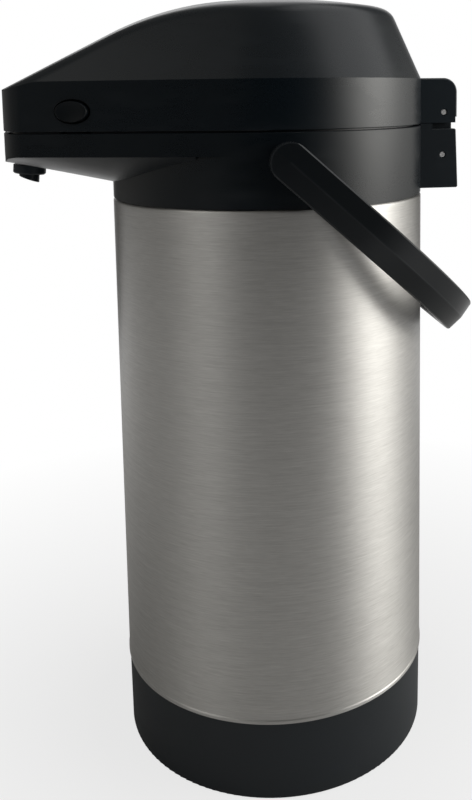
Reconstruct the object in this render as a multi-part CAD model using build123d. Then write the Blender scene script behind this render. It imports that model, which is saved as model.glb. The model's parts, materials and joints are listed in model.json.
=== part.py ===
from build123d import *
import math
import os

# Airpot: a pump-action vacuum flask with a hinged lid, a push button and a carry handle.
# Lengths are millimetres and angles are degrees. Z is up, the spout points to -Y, the lid hinge is
# at +Y, and the base stands on z = 0.

# Outside of the body, read from the photograph.
body_r = 82.0
base_h = 40.0
base_lean = 0.4
base_inset = 0.3
sleeve_h = 251.5
collar_h = 35.8
collar_inset = 0.1

# Outside of the lid.
skirt_h = 23.7
lid_h = 65.0
dome_taper = 24.0
dome_edge_r = 9.0
crown_r = 330.0
seam_gap = 0.8
edge_ease = 0.35
shadow_line = 0.8

# Spout nose.
nose_length = 52.4
nose_taper = 17.0
nose_bow_r = 150.0
nose_corner_r = 12.0
nose_side_h = 11.3
nose_slope = 27.0
nose_blend_in = 1.7
nose_blend_r = 150.0
blend_end_deg = 5.0
keel_drop = 27.2
keel_slope = 0.223

# Walls and clearances.
steel_t = 0.8
wall = 2.8
plastic_t = 2.2
seat_gap = 0.1
fit_gap = 0.2
move_gap = 0.3
run_gap = 0.05

# Lid hinge.
hinge_back = 11.6
hinge_rise = 6.1
hinge_pin_r = 1.75
hinge_half = 16.0
knuckle_half = 7.6
knuckle_r = 5.0
hood_depth = 7.2
hood_h = 23.7
hood_corner_r = 7.5
hood_screw_x = 10.5
bracket_drop = 8.8
bracket_depth = 7.8
bracket_pin_drop = 13.8
lug_half = 9.5
hood_swing_r = 8.4

# Carry handle.
pivot_drop = 13.7
handle_drop = 42.0
handle_span = 56.3
handle_band = 18.5
handle_t = 6.5
handle_swing = 196.0
boss_out = 3.2
boss_r = 8.5
stub_r = 4.5
stop_r = 6.6
stop_peg_r = 0.9

# Flask, its cushion and the foot ring.
flask_gap = 10.0
flask_wall = 9.0
glass_t = 1.8
flask_neck_r = 43.0
flask_mouth_r = 37.0
flask_foot_z = 24.0
shoulder_drop = 35.5
waist_drop = 11.5
flask_bend_r = 28.0
base_floor_z = 6.0
cushion_r = 44.5
foot_ring_in = 7.0
foot_ring_w = 12.0
foot_ring_h = 3.7

# Mouth, tubes and nozzle.
cup_r = 46.0
well_gap = 6.0
shelf_rise = 4.5
deck_drop = 2.3
deck_t = 2.5
ring_h = 11.1
mouth_y = 4.0
mouth_r = 26.0
tube_in = 15.5
tube_r = 4.0
tube_wall = 0.8
spout_tube_r = 4.4
spout_tube_wall = 1.4
spout_start = 5.6
elbow_r = 5.0
nozzle_in = 11.0
nozzle_drop = 10.2
nozzle_tilt = 5.0
nozzle_collar_r = 8.2
nozzle_collar_at = 7.9
nozzle_collar_h = 4.6
tip_r = 5.1
tip_wall = 1.5
tip_end = 15.2
tip_slant = 21.0

# Pump.
button_r = 39.2
button_stroke = 28.0
guide_h = 22.3
guide_wall = 1.9
seal_h = 2.5
liner_rise = 2.7
bellows_r = 40.0
bellows_fold = 7.0
bellows_folds = 6
bellows_folded = 14.9
bellows_skin = 1.0
spring_r = 11.0
spring_wire_r = 0.9
spring_turns = 7

# Lock slider in the button.
lock_y = 26.0
lock_sink = 1.3
lock_plate = 11.6
lock_width = 9.6
lock_travel = 8.0
lock_stem = 4.0

# Latch buttons on the sides of the nose.
latch_in = 37.9
latch_rise = 9.7
latch_long = 15.8
latch_high = 9.8
latch_gap = 0.9
latch_proud = 2.4
latch_travel = 3.0

# Screws.
screw_head_r = 2.8
screw_head_t = 1.7
screw_r = 1.4
cover_screw_l = 9.5
hood_screw_l = 16.0
liner_screw_l = 11.0
pivot_screw_l = 9.5
pillar_r = 3.6
pillar_back_y = 28.0
pillar_front_y = 4.0
post_in = 34.4
post_x = 24.0

# Heights and places that follow from the sizes above.
neck_z = base_h + sleeve_h
seam_z = neck_z + collar_h
crease_z = seam_z + skirt_h
crown_z = seam_z + lid_h
lid_foot_z = seam_z + seam_gap / 2
collar_top_z = seam_z - seam_gap / 2
nose_reach = body_r + nose_length
nose_side_z = seam_z - nose_side_h
collar_r = body_r - collar_inset
barrel_bore_r = collar_r - wall
base_top_r = body_r - base_inset
base_foot_r = base_top_r - base_lean
sleeve_bore_r = body_r - steel_t
flask_r = body_r - flask_gap
flask_top_z = neck_z + 2.5
hinge_y = body_r + hinge_back
hinge_z = seam_z + hinge_rise
hood_foot_z = lid_foot_z + seat_gap
hood_top_z = hood_foot_z + hood_h
hood_back_y = hinge_y + hood_depth
hood_screw_z = hood_top_z - 7.0
bracket_top_z = hinge_z - bracket_drop
bracket_foot_z = neck_z + 1.4
lug_top_z = bracket_top_z - 3.6
bracket_pin_y = hinge_y - 0.8
bracket_pin_z = bracket_top_z - bracket_pin_drop
pivot_z = seam_z - pivot_drop
boss_face_x = body_r + boss_out
handle_reach = body_r + handle_span
deck_top_z = seam_z - deck_drop
deck_foot_z = deck_top_z - deck_t
shelf_z = neck_z + shelf_rise
well_r = cup_r + well_gap
ring_r = cup_r + 0.5
ring_foot_z = shelf_z + 1.0
ring_top_z = ring_foot_z + ring_h
tube_y = -(ring_r - tube_in)
spout_tube_bore = spout_tube_r - spout_tube_wall
spout_start_z = ring_foot_z + spout_start
nozzle_y = -(nose_reach - nozzle_in)
nozzle_z = seam_z - nozzle_drop
liner_z = seam_z + liner_rise
cup_floor_z = ring_top_z + move_gap + seal_h + seat_gap
cup_bore_r = cup_r - plastic_t
guide_r = button_r + move_gap + 0.2
guide_foot_z = crown_z - guide_h
bellows_foot_z = cup_floor_z + 2.0 + seat_gap
bellows_top_z = bellows_foot_z + button_stroke + bellows_folded
bellows_root_r = bellows_r - bellows_fold
lock_top_z = crown_z - lock_sink
latch_y = -(nose_reach - latch_in)
latch_z = seam_z + latch_rise
post_y = -(nose_reach - post_in)
sin_n = math.sin(math.radians(nose_taper))
cos_n = math.cos(math.radians(nose_taper))


def cyl(radius, z0, z1, x=0.0, y=0.0):
    """Upright solid cylinder between two heights."""
    return Pos(x, y, z0) * Cylinder(radius, z1 - z0, align=(Align.CENTER, Align.CENTER, Align.MIN))


def ring(inner, outer, z0, z1, x=0.0, y=0.0):
    """Upright tube between two heights."""
    return cyl(outer, z0, z1, x, y) - cyl(inner, z0 - 1, z1 + 1, x, y)


def block(x0, x1, y0, y1, z0, z1):
    """Box from its six limits."""
    centre = Pos((x0 + x1) / 2, (y0 + y1) / 2, (z0 + z1) / 2)
    return centre * Box(x1 - x0, y1 - y0, z1 - z0)


def cross_rod(radius, x0, x1, y, z):
    """Cylinder lying along X."""
    return Pos((x0 + x1) / 2, y, z) * Rot(0, 90, 0) * Cylinder(radius, x1 - x0)


def side_plate(points, x0, x1):
    """Profile drawn in Y and Z, pulled along X."""
    face = make_face(Polyline([(y, z) for y, z in points], close=True))
    return Pos(x0, 0, 0) * extrude(Plane.YZ * face, amount=x1 - x0)


def turned(points, radii=None):
    """Closed profile of (r, z) points with optional corner radii, spun about Z."""
    face = make_face(Polyline(list(points), close=True))
    for corner, radius in (radii or {}).items():
        near = face.vertices().sort_by_distance(Vector(corner[0], corner[1], 0))[0]
        face = fillet(near, radius)
    return revolve(Plane.XZ * face, Axis.Z, 360)


def join(pieces):
    """Fuse a list of solids."""
    whole = pieces[0]
    for piece in pieces[1:]:
        whole = whole + piece
    return whole


def both_sides(shape):
    """The shape and its mirror image across the middle plane."""
    return shape + mirror(shape, Plane.YZ)


def save(shape, name):
    """Write one node, as one solid or as a group of like solids."""
    solids = shape.solids()
    out = solids[0] if len(solids) == 1 else Compound(children=list(solids))
    out.label = name
    export_step(out, "parts/" + name + ".step")
    print(name, len(solids), round(sum(s.volume for s in solids)))


def side_x(y, inset=0.0):
    """Half-width of the nose at one station, measured to its straight side."""
    return (body_r - inset + y * sin_n) / cos_n


def plan_face(inset, z):
    """Plan outline, drawn in by an inset: a circle whose tangent sides run to a gently bowed front."""
    r = body_r - inset
    bow = nose_bow_r - inset
    bow_y = nose_bow_r - nose_reach
    a = (sin_n / cos_n) ** 2 + 1
    b = 2 * r * sin_n / cos_n ** 2 - 2 * bow_y
    c = (r / cos_n) ** 2 + bow_y ** 2 - bow ** 2
    tip_y = (-b - math.sqrt(b * b - 4 * a * c)) / (2 * a)
    tip_x = side_x(tip_y, inset)
    touch = (r * cos_n, -r * sin_n)
    edges = [
        ThreePointArc(touch, (0, r), (-touch[0], touch[1])),
        Line((-touch[0], touch[1]), (-tip_x, tip_y)),
        ThreePointArc((-tip_x, tip_y), (0, bow_y - bow), (tip_x, tip_y)),
        Line((tip_x, tip_y), touch),
    ]
    face = make_face(edges)
    face = fillet(face.vertices().sort_by(Axis.Y)[:2], max(nose_corner_r - inset, 1.0))
    return Pos(0, 0, z) * face


def plan_block(inset, z0, z1):
    """Upright solid on the plan outline."""
    return extrude(plan_face(inset, z0), amount=z1 - z0)


def under_top(drop):
    """Everything below the lid's top surface: a sloping nose that blends into a shallow crown."""
    margin = 13.0
    slope = math.radians(nose_slope)
    end = math.radians(blend_end_deg)
    mid = (slope + end) / 2
    blend_y = nose_blend_in - body_r
    blend_end_y = blend_y + nose_blend_r * (math.sin(slope) - math.sin(end))
    blend_end_z = crown_z - drop - crown_r * (1 - math.cos(end))
    blend_z = blend_end_z - nose_blend_r * (math.cos(end) - math.cos(slope))
    mid_y = blend_y + nose_blend_r * (math.sin(slope) - math.sin(mid))
    mid_z = blend_z + nose_blend_r * (math.cos(mid) - math.cos(slope))
    apex_y = blend_end_y + crown_r * math.sin(end)
    start_y = -nose_reach - margin
    start_z = blend_z + (start_y - blend_y) * math.tan(slope)
    far_y = body_r + margin
    far_z = crown_z - drop - crown_r + math.sqrt(crown_r ** 2 - (far_y - apex_y) ** 2)
    path = [
        Line((0, start_y, start_z), (0, blend_y, blend_z)),
        ThreePointArc((0, blend_y, blend_z), (0, mid_y, mid_z), (0, blend_end_y, blend_end_z)),
        ThreePointArc((0, blend_end_y, blend_end_z), (0, apex_y, crown_z - drop), (0, far_y, far_z)),
    ]
    half = body_r + margin
    sag = crown_r - math.sqrt(crown_r ** 2 - half ** 2)
    pieces = []
    for step in path:
        frame = Plane(origin=step @ 0, x_dir=(-1, 0, 0), z_dir=step % 0)
        arch = frame * ThreePointArc((-half, -sag), (0, 0), (half, -sag))
        skin = sweep(arch, path=step)
        pieces += [Solid.extrude(face, Vector(0, 0, -2 * lid_h)) for face in skin.faces()]
    return join(pieces)


def lid_form(inset, floor_z, edge_r=0.0):
    """Outer or inner form of the lid: a leaning dome with a rounded rim, trimmed by the upright skirt."""
    depth = crease_z - floor_z
    spread = depth * math.tan(math.radians(dome_taper))
    dome = extrude(plan_face(inset - spread, floor_z), amount=depth + lid_h - skirt_h + 10, taper=dome_taper)
    dome = dome & under_top(inset)
    if edge_r:
        count = {}
        for face in dome.faces():
            if face.normal_at(face.center()).Z > 0.75:
                for edge in face.edges():
                    count.setdefault(tuple(round(v, 2) for v in edge.center()), []).append(edge)
        dome = fillet([same[0] for same in count.values() if len(same) == 1], edge_r)
    return plan_block(inset, floor_z, crown_z + 5) & dome


os.makedirs("parts", exist_ok=True)


# Base cap: moulded dish with a plug-in rim, a floor, stiffening ribs and a groove for the foot ring.
foot_ring_r = base_foot_r - foot_ring_in
foot_ring_bore_r = foot_ring_r - foot_ring_w
base_plug_r = sleeve_bore_r - move_gap
base_rib_z = 20.0


def make_base_cap():
    recess_r = foot_ring_bore_r - 2.0
    lift = 0.4
    under_z = base_floor_z - 2.5
    inner_r = base_foot_r - 3.4
    plug_z = base_h + 7.0
    shell = turned(
        [
            (0, under_z), (recess_r, under_z), (recess_r, lift), (base_foot_r, lift), (base_top_r, base_h),
            (base_plug_r, base_h), (base_plug_r, plug_z), (base_plug_r - 2.6, plug_z),
            (inner_r, base_floor_z), (0, base_floor_z),
        ],
        {(base_foot_r, lift): 0.8},
    )
    groove = ring(foot_ring_bore_r, foot_ring_r, 0.0, foot_ring_h + seat_gap)
    cup = ring(cushion_r + 0.5, cushion_r + 2.5, base_floor_z - 0.5, base_floor_z + 8.0)
    rib = block(cushion_r + 2.0, inner_r + 0.6, -1.0, 1.0, base_floor_z - 0.5, base_rib_z)
    ribs = join([Rot(0, 0, 60 * k) * rib for k in range(6)])
    return shell - groove + cup + ribs


save(make_base_cap(), "base_cap")

# Foot ring: rubber band pressed into the groove under the base.
save(ring(foot_ring_bore_r + fit_gap, foot_ring_r - fit_gap, 0.0, foot_ring_h), "foot_ring")

# Flask cushion: soft ring that carries the glass, with room for the pip.
cushion_foot_z = base_floor_z + seat_gap
cushion_top_z = flask_foot_z - fit_gap
cushion_step_z = flask_foot_z - 10.0
cushion_outline = [
    (cushion_r - 20.5, cushion_foot_z), (cushion_r, cushion_foot_z), (cushion_r, cushion_top_z),
    (cushion_r - 14.5, cushion_top_z), (cushion_r - 14.5, cushion_step_z), (cushion_r - 20.5, cushion_step_z),
]
save(turned(cushion_outline), "flask_cushion")


# Body shell: brushed steel sleeve, hemmed at the foot and rolled in at the top.
def make_body_shell():
    foot = base_h + move_gap
    top = neck_z - seat_gap
    hem_r = body_r + 0.3
    roll_r = barrel_bore_r + 0.5
    points = [
        (sleeve_bore_r, foot), (hem_r, foot), (hem_r, foot + 1.6), (body_r, foot + 2.2),
        (body_r, top), (roll_r, top), (roll_r, top - steel_t), (sleeve_bore_r, top - steel_t),
    ]
    return turned(points, {(body_r, top): 1.2, (hem_r, foot): 0.25, (hem_r, foot + 1.6): 0.25})


save(make_body_shell(), "body_shell")


# Glass flask: one double wall of glass with a sealed space between the walls.
def flask_form(radius, neck, foot, shoulder, waist, top, bend):
    """Bottle with a round foot, a sloping shoulder and a straight neck."""
    points = [(0, foot), (radius, foot), (radius, shoulder), (neck, waist), (neck, top), (0, top)]
    shoulder_bend = bend - 12.0
    neck_bend = bend - 20.0
    return turned(points, {(radius, foot): bend, (radius, shoulder): shoulder_bend, (neck, waist): neck_bend})


def make_flask():
    shoulder = neck_z - shoulder_drop
    waist = neck_z - waist_drop
    bore_r = flask_r - flask_wall
    bore_foot = flask_foot_z + flask_wall
    bore_bend = flask_bend_r - 3.0
    outer = flask_form(flask_r, flask_neck_r, flask_foot_z, shoulder, waist, flask_top_z, flask_bend_r)
    bore = flask_form(bore_r, flask_mouth_r, bore_foot, shoulder - 4, waist - 5, flask_top_z + 2, bore_bend)
    sealed = flask_form(
        flask_r - glass_t, flask_neck_r - glass_t, flask_foot_z + glass_t,
        shoulder - 1.2, waist - 1.2, flask_top_z - 2.5, flask_bend_r - glass_t,
    )
    inner_glass = flask_form(
        bore_r + glass_t, flask_mouth_r + glass_t, bore_foot - glass_t,
        shoulder - 3.0, waist - 4.0, flask_top_z - 1.5, bore_bend + 1.0,
    )
    pip_foot = flask_foot_z - 8.0
    pip_top = flask_foot_z + 1.0
    pip = turned([(0, pip_top), (4.0, pip_top), (3.2, pip_foot + 2.5), (1.6, pip_foot), (0, pip_foot)])
    return outer + pip - bore - (sealed - inner_glass)


save(make_flask(), "glass_flask")

# Neck gasket: soft ring on the mouth of the flask, with a lip that hangs round the glass.
gasket_top_z = ring_foot_z - seat_gap
gasket_seat_z = flask_top_z + seat_gap
gasket_bore_r = flask_neck_r + fit_gap
gasket_r = gasket_bore_r + 1.8
gasket_outline = [
    (flask_mouth_r - 1, gasket_seat_z), (gasket_bore_r, gasket_seat_z), (gasket_bore_r, gasket_seat_z - 4.1),
    (gasket_r, gasket_seat_z - 4.1), (gasket_r, gasket_top_z), (flask_mouth_r - 1, gasket_top_z),
]
save(turned(gasket_outline), "neck_gasket")

# Directions and points of the spout.
spout_run = nozzle_y - tube_y
spout_rise = nozzle_z - spout_start_z
spout_length = math.hypot(spout_run, spout_rise)
spout_axis = Plane(origin=(0, tube_y, spout_start_z), x_dir=(1, 0, 0), z_dir=(0, spout_run, spout_rise))
tilt = math.radians(nozzle_tilt)
nozzle_way = (0, -math.sin(tilt), -math.cos(tilt))
nozzle_axis = Plane(origin=(0, nozzle_y, nozzle_z), x_dir=(1, 0, 0), z_dir=nozzle_way)
spout_seat = 8.0
tube_top_z = ring_foot_z + 3.8


def along(plane, radius, start, stop):
    """Cylinder along a plane's normal, from one distance to another."""
    rod = Cylinder(radius, stop - start, align=(Align.CENTER, Align.CENTER, Align.MIN))
    return plane * (Pos(0, 0, start) * rod)


# Mouth ring: sits on the neck, holds the dip tube and hands over to the discharge tube.
def make_mouth_ring():
    body = cyl(ring_r, ring_foot_z, ring_top_z)
    body = body - cyl(mouth_r, ring_foot_z - 1, ring_top_z + 1, 0, mouth_y)
    body = body - cyl(tube_r + 0.9, ring_foot_z - 1, tube_top_z + fit_gap, 0, tube_y)
    body = body - cyl(spout_tube_bore, tube_top_z - 0.3, spout_start_z + 2.5, 0, tube_y)
    body = body - along(spout_axis, spout_tube_bore, 0.0, tube_in + 4.5)
    return body - along(spout_axis, spout_tube_r + run_gap, spout_seat, tube_in + 8.5)


save(make_mouth_ring(), "mouth_ring")

# Dip tube and the soft seal that holds its top end.
save(ring(tube_r - tube_wall, tube_r, flask_foot_z + 18.0, tube_top_z, 0, tube_y), "dip_tube")
save(ring(tube_r + 0.02, tube_r + 0.85, ring_foot_z + fit_gap, tube_top_z, 0, tube_y), "tube_seal")


# Discharge tube: rises through the nose and turns down over the nozzle.
def make_discharge_tube():
    start = spout_axis * Pos(0, 0, spout_seat + fit_gap)
    end = nozzle_axis * Pos(0, 0, nozzle_collar_at + 1.1)
    route = FilletPolyline([start.position, (0, nozzle_y, nozzle_z), end.position], radius=elbow_r)
    return sweep(start * (Circle(spout_tube_r) - Circle(spout_tube_bore)), path=route)


save(make_discharge_tube(), "discharge_tube")

# Places of the latch buttons, on the straight sides of the nose.
latch_plane = Plane(
    origin=(side_x(latch_y), latch_y, latch_z), x_dir=(sin_n, cos_n, 0), z_dir=(cos_n, -sin_n, 0)
)
leg_w = 9.0
leg_t = 1.8
leg_in = wall + 1.9
hook_foot = latch_z - deck_top_z + 7.0


def latch_slot(width, depth, drop, high):
    """Opening for the hook and leg of a latch button, from just inside the wall inwards."""
    centre_in = wall + collar_inset + depth / 2
    return latch_plane * (Pos(0, -drop, -centre_in) * Box(width, high, depth))


# Collar: shoulder moulding with the lower half of the nose, the deck, the well and all its bosses.
def make_collar():
    inset = collar_inset + wall
    outside = cyl(collar_r, neck_z, collar_top_z) + plan_block(collar_inset, nose_side_z, collar_top_z)
    outside = chamfer(outside.faces().sort_by(Axis.Z)[-1].outer_wire().edges(), edge_ease)
    above = plan_block(inset + 0.6, deck_top_z, collar_top_z + 3)
    below_nose = plan_block(inset, nose_side_z - 1, deck_foot_z)
    below_nose = below_nose - cyl(collar_r - 0.2, nose_side_z - 2, deck_top_z)
    below_round = cyl(barrel_bore_r, shelf_z + deck_t, deck_foot_z)
    foot = cyl(barrel_bore_r, neck_z - 1, shelf_z)
    foot = foot + ring(collar_r - shadow_line, collar_r + 1, neck_z - 1, neck_z + shadow_line)
    body = outside - above - below_nose - below_round - foot
    body = body + ring(well_r, well_r + plastic_t, shelf_z + 2.0, deck_top_z - 0.5)
    body = body - cyl(well_r, shelf_z + deck_t, deck_top_z + 2) - cyl(ring_r + 1.5, shelf_z - 1, shelf_z + 4)
    skirt = ring(barrel_bore_r - 2.4, barrel_bore_r + 0.1, neck_z - 7.5, neck_z + 0.5)
    skirt = skirt + ring(barrel_bore_r - 2.4, barrel_bore_r + 1.0, neck_z, neck_z + 1.5)
    lip = plan_block(inset + 0.6, deck_top_z - 0.5, collar_top_z + 1.5)
    lip = lip - plan_block(inset + plastic_t, deck_top_z - 1, collar_top_z + 5)
    rear_gap = block(-2 * hinge_half, 2 * hinge_half, body_r - 22, body_r + 8, deck_top_z, collar_top_z + 3)
    tube_half = spout_tube_r + 2.6
    below_tube = (spout_tube_r + run_gap) * spout_length / abs(spout_run)
    slot_foot = spout_start_z + (well_r - 3 + tube_y) * spout_rise / abs(spout_run) - below_tube
    tube_gap = block(-tube_half, tube_half, -body_r - 2, 3 - well_r, slot_foot, deck_foot_z - 0.5)
    body = body + skirt + (lip - rear_gap) - tube_gap
    boss = cross_rod(boss_r, barrel_bore_r - 3.1, boss_face_x, 0, pivot_z)
    bore = cross_rod(stub_r + run_gap, body_r - 22, boss_face_x + 15, 0, pivot_z)
    peg = cross_rod(stop_peg_r, boss_face_x - 1, boss_face_x + 1.3, 0, pivot_z - stop_r)
    body = body + both_sides(boss + peg) - both_sides(bore)
    lug = block(-lug_half, lug_half, body_r - 3.0, bracket_pin_y + 3.7, bracket_foot_z + 2.1, lug_top_z)
    lug = lug - cross_rod(hinge_pin_r + run_gap, -hinge_half, hinge_half, bracket_pin_y, bracket_pin_z)
    post_hole = cyl(screw_r + fit_gap, deck_top_z - 4, deck_top_z + 1, post_x, post_y)
    body = body + lug - both_sides(post_hole)
    hook_drop = latch_z - deck_top_z + 0.5
    return body - both_sides(latch_slot(leg_w + 6.0, leg_t + latch_travel + 2.6, hook_drop, 14.0))


save(make_collar(), "collar")


# Spout cover: boat-shaped underside of the nose.
def hull_form(inset):
    """Solid hull of arc sections between two stations, drawn in by an inset."""
    pieces = []
    for y in (-nose_reach - 5.6, -body_r / 2):
        half = side_x(y, collar_inset + inset)
        keel = seam_z - keel_drop + (-body_r - y) * keel_slope + inset
        arc = ThreePointArc((-half, y, nose_side_z), (0, y, keel), (half, y, nose_side_z))
        pieces.append(make_face([arc, Line((half, y, nose_side_z), (-half, y, nose_side_z))]))
    return loft(pieces, ruled=True)


def make_spout_cover():
    low_z = seam_z - keel_drop - 20
    plan = plan_block(collar_inset + run_gap, low_z, nose_side_z - seat_gap)
    inner_plan = plan_block(collar_inset + wall, low_z - 10, nose_side_z + 14)
    shell = (hull_form(0.0) & plan) - (hull_form(plastic_t) & inner_plan)
    shell = shell - cyl(collar_r + move_gap, low_z - 20, seam_z + 12)
    above_hull = block(-body_r, body_r, -nose_reach, -body_r / 2, nose_side_z - 1, seam_z)
    post = cyl(screw_r + 1.8, low_z, deck_foot_z - seat_gap, post_x, post_y) & (hull_form(0.5) + above_hull)
    post = post - cyl(screw_r + run_gap, deck_top_z - cover_screw_l - 1.5, seam_z, post_x, post_y)
    shell = shell + both_sides(post)
    shell = shell - along(nozzle_axis, nozzle_collar_r + fit_gap, nozzle_collar_at - 0.15, tip_end + 5)
    return shell - along(nozzle_axis, spout_tube_r + 1.5, -2.0, tip_end + 5)


save(make_spout_cover(), "spout_cover")


def pan_screw(head_r, head_t, shank_r, length):
    """Cross-recess screw standing on its tip, head at the top, underside of the head at zero."""
    body = cyl(shank_r, -length, 0.1) + cyl(head_r, 0, head_t)
    body = chamfer(body.edges().sort_by(Axis.Z)[-1], 0.35)
    cross = block(-head_r * 0.6, head_r * 0.6, -0.4, 0.4, head_t - 0.8, head_t + 1)
    return body - cross - Rot(0, 0, 90) * cross


# Two screws hold the spout cover to the deck.
cover_screw = pan_screw(screw_head_r, screw_head_t, screw_r, cover_screw_l)
save(both_sides(Pos(post_x, post_y, deck_top_z) * cover_screw), "cover_screws")


# Nozzle collar and nozzle tip.
def make_nozzle_collar():
    start = nozzle_collar_at
    body = along(nozzle_axis, nozzle_collar_r, start, start + nozzle_collar_h)
    body = chamfer(body.edges().sort_by(Axis.Z)[0], 0.7)
    body = body + along(nozzle_axis, spout_tube_r + 1.3, start - 2.2, start + 1.0)
    body = body - along(nozzle_axis, spout_tube_r + run_gap, start - 5.0, start + 1.5)
    return body - along(nozzle_axis, tip_r + run_gap, start + 1.5, start + nozzle_collar_h + 2)


def make_nozzle_tip():
    start = nozzle_collar_at + 1.6
    body = along(nozzle_axis, tip_r, start, tip_end + 5)
    body = body - along(nozzle_axis, tip_r - tip_wall, start - 1, tip_end + 6)
    end_y = nozzle_y - math.sin(tilt) * tip_end
    end_z = nozzle_z - math.cos(tilt) * tip_end
    below = Box(4 * tip_r, 6 * tip_r, 20, align=(Align.CENTER, Align.CENTER, Align.MAX))
    return body - Pos(0, end_y, end_z) * Rot(-tip_slant, 0, 0) * below


save(make_nozzle_collar(), "nozzle_collar")
save(make_nozzle_tip(), "nozzle_tip")


def cheek_edges(body, behind_y):
    """Edges round both side faces of a hinge block, behind one Y."""
    edges = [e for e in body.edges() if abs(abs(e.center().X) - hinge_half) < run_gap]
    return [e for e in edges if e.center().Y > behind_y]


# Hinge bracket: lower hinge block with the middle knuckle, slid over the collar's lug.
def make_hinge_bracket():
    inner_y = body_r - 7.0
    foot_back = hinge_y + bracket_depth
    top_back = foot_back - 1.2
    body = side_plate(
        [
            (inner_y, bracket_foot_z), (foot_back, bracket_foot_z),
            (top_back, bracket_top_z), (inner_y, bracket_top_z),
        ],
        -hinge_half, hinge_half,
    )
    body = fillet([e for e in body.edges().filter_by(Axis.X) if e.center().Y > body_r], 1.0)
    body = chamfer(cheek_edges(body, body_r), 0.4)
    half = knuckle_half
    ledge_z = hood_foot_z - move_gap
    ledge_back = hinge_y - math.sqrt((hood_swing_r + move_gap) ** 2 - (hinge_z - ledge_z) ** 2)
    stem = block(-half, half, hinge_y - knuckle_r, top_back, bracket_top_z - 1, hinge_z)
    stem = stem + block(-half, half, inner_y, hinge_y, bracket_top_z - 1, ledge_z)
    stem = stem + block(-hinge_half, hinge_half, inner_y, ledge_back, bracket_top_z - 1, ledge_z)
    body = body + stem + cross_rod(knuckle_r, -half, half, hinge_y, hinge_z)
    body = body - cyl(collar_r + fit_gap, neck_z - 10, crease_z)
    room = lug_half + fit_gap
    body = body - block(-room, room, inner_y - 5, bracket_pin_y + 4.0, neck_z - 10, lug_top_z + move_gap)
    for y, z in ((hinge_y, hinge_z), (bracket_pin_y, bracket_pin_z)):
        body = body - cross_rod(hinge_pin_r + run_gap, -hinge_half - 4, hinge_half + 4, y, z)
    return body


save(make_hinge_bracket(), "hinge_bracket")


# Cross pins of the hinge: one locks the bracket to the collar, the lid turns on the other.
def make_pin(y, z):
    body = cross_rod(hinge_pin_r, 0.4 - hinge_half, hinge_half - 0.4, y, z)
    return chamfer(body.edges(), 0.35)


save(make_pin(bracket_pin_y, bracket_pin_z), "bracket_pin")
save(make_pin(hinge_y, hinge_z), "hinge_pin")


# Hinge hood: upper hinge block, screwed to the back of the lid.
def make_hinge_hood():
    inner_y = body_r - 12.0
    step_y = hood_back_y - 0.9
    step_z = hood_foot_z + 3.1
    body = side_plate(
        [
            (inner_y, hood_foot_z), (step_y, hood_foot_z), (step_y, step_z), (hood_back_y, step_z),
            (hood_back_y, hood_top_z), (inner_y, hood_top_z),
        ],
        -hinge_half, hinge_half,
    )
    rear_top = body.edges().filter_by(Axis.X).sort_by_distance(Vector(0, hood_back_y, hood_top_z))[0]
    body = fillet(rear_top, hood_corner_r)
    body = chamfer([e for e in cheek_edges(body, inner_y + 2) if e.center().Z > hood_foot_z + 2], 0.7)
    half = knuckle_half + move_gap
    room = knuckle_r + 0.5
    stem_room = bracket_depth - 1.2 + move_gap + 0.2
    slot = block(-half, half, hinge_y - room, hood_back_y + 9, hood_foot_z - 8, hinge_z)
    slot = slot + block(-half, half, hinge_y, hood_back_y + 9, hinge_z - 1, hinge_z + stem_room)
    slot = slot + cross_rod(room, -half, half, hinge_y, hinge_z)
    body = body - slot - cyl(body_r + run_gap, neck_z, crown_z)
    body = body - cross_rod(hinge_pin_r + run_gap, -hinge_half - 4, hinge_half + 4, hinge_y, hinge_z)
    screw_hole = Pos(hood_screw_x, body_r + 3, hood_screw_z) * Rot(90, 0, 0) * Cylinder(screw_r + 0.1, 16)
    return body - both_sides(screw_hole)


save(make_hinge_hood(), "hinge_hood")


# Lid shell: thin moulded hood with the button guide, screw pillars and latch openings.
outer_form = lid_form(0.0, lid_foot_z, dome_edge_r)
outer_form = chamfer(outer_form.faces().sort_by(Axis.Z)[0].outer_wire().edges(), edge_ease)
inner_form = lid_form(wall, lid_foot_z - 1)
pad_in = 7.5
pillar_nose_y = pillar_front_y - body_r
pillar_spots = [(body_r - 26.0, pillar_back_y), (side_x(pillar_nose_y) - 13.2, pillar_nose_y)]


def make_lid_shell():
    cavity = inner_form - cyl(guide_r + guide_wall, guide_foot_z, crown_z + 5)
    for x, y in pillar_spots:
        cavity = cavity - both_sides(cyl(pillar_r, liner_z + plastic_t + seat_gap, crown_z + 3, x, y))
    pad = block(-15, 15, body_r - pad_in, body_r + 5, hood_screw_z - 6.0, hood_screw_z + 5.5)
    body = outer_form - cyl(guide_r, guide_foot_z - 1, crown_z + 5) - (cavity - pad)
    for x, y in pillar_spots:
        body = body - both_sides(cyl(screw_r - run_gap, liner_z, liner_z + liner_screw_l + 3, x, y))
    hole = Pos(hood_screw_x, body_r - 2, hood_screw_z) * Rot(90, 0, 0) * Cylinder(screw_r + 0.3, 20)
    outline = Ellipse(latch_long / 2 + latch_gap, latch_high / 2 + latch_gap)
    return body - both_sides(hole) - both_sides(latch_plane * extrude(outline, amount=12, both=True))


save(make_lid_shell(), "lid_shell")

# Screws of the hinge hood, driven from inside the lid.
hood_screw = Rot(90, 0, 0) * pan_screw(screw_head_r, screw_head_t, screw_r, hood_screw_l)
hood_screw = Pos(hood_screw_x, body_r - pad_in - seat_gap, hood_screw_z) * hood_screw
save(both_sides(hood_screw), "hood_screws")


# Lid liner: inner plate with the pump cup hanging in the well.
liner_head_z = liner_z + 1.0
valve_r = 8.5
valve_stem_r = 1.9


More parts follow.
